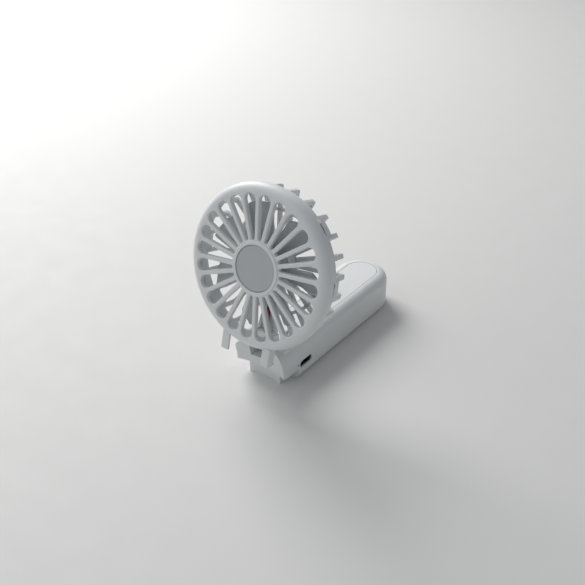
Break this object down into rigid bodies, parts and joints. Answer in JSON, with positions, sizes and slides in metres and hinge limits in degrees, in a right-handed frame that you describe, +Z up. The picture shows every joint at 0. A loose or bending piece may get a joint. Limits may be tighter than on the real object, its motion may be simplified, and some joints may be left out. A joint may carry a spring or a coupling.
{
  "type": "folding handheld fan",
  "caption": "Handheld electric fan: a round grilled head with an impeller and motor, hinged to a slim rounded battery handle that also serves as its stand.",
  "frame": {"origin": "centre of the handle's flat bottom face, on the surface that the fan stands on", "axes": "+Z up; +Y along the handle, away from the hinge; +X across the handle, towards the charge port; the head's front faces -Y, tilted back"},
  "size_m": [0.0756, 0.1093, 0.099],
  "materials": {
    "shell_plastic": "fine matt moulded texture",
    "panel_plastic": "fine matt moulded texture",
    "grille_plastic": "fine matt moulded texture",
    "badge_plastic": "matt, slightly darker grey",
    "impeller_plastic": "satin moulded",
    "button_plastic": "satin moulded",
    "steel": "plain machined",
    "brass": "plain turned",
    "magnet": "sintered ferrite",
    "motor_cap_plastic": "moulded nylon",
    "washer_plastic": "natural acetal",
    "board_laminate": "solder-masked laminate",
    "chip_black": "moulded epoxy",
    "connector_steel": "drawn sheet",
    "clear_plastic": "clear moulded",
    "wire_red": "soft insulation",
    "wire_black": "soft insulation",
    "battery_foil": "laminated foil",
    "foam": "open-cell foam tape"
  },
  "bodies": {
    "handle": {"handle_shell": "shell_plastic", "top_panel": "panel_plastic", "panel_screws": "steel", "hinge_pin_hollow": "steel", "hinge_pin_solid": "steel", "hinge_washers": "washer_plastic", "circuit_board": "board_laminate", "usb_receptacle_shell": "connector_steel", "usb_receptacle_tongue": "chip_black", "status_led": "clear_plastic", "light_pipe": "clear_plastic", "control_chip": "chip_black", "tact_switch": "chip_black", "battery_cell": "battery_foil", "battery_foam_pad": "foam", "handle_wire_red": "wire_red", "handle_wire_black": "wire_black"},
    "head": {"front_grille": "grille_plastic", "centre_badge": "badge_plastic", "rear_grille": "grille_plastic", "motor_can": "steel", "motor_end_cap": "motor_cap_plastic", "front_bushing": "brass", "rear_bushing": "brass", "motor_magnets": "magnet", "motor_terminals": "brass", "motor_wire_red": "wire_red", "motor_wire_black": "wire_black"},
    "rotor": {"impeller": "impeller_plastic", "motor_shaft": "steel", "armature": "steel", "commutator": "brass"},
    "power_button": {"power_button": "button_plastic"}
  },
  "joints": [
    {"name": "head_tilt", "type": "hinge", "parent": "handle", "child": "head", "pos_m": [0, -0.0437, 0.0188], "axis": [1, 0, 0], "range_deg": [-75.8, 104.2]},
    {"name": "fan_spin", "type": "hinge", "parent": "head", "child": "rotor", "pos_m": [0, -0.05213, 0.06323], "axis": [0, -0.9694, 0.2453], "continuous": true},
    {"name": "button_press", "type": "slide", "parent": "handle", "child": "power_button", "axis": [1, 0, 0], "range_m": [0, 0.0004], "stiffness_N_per_m": 600}
  ]
}
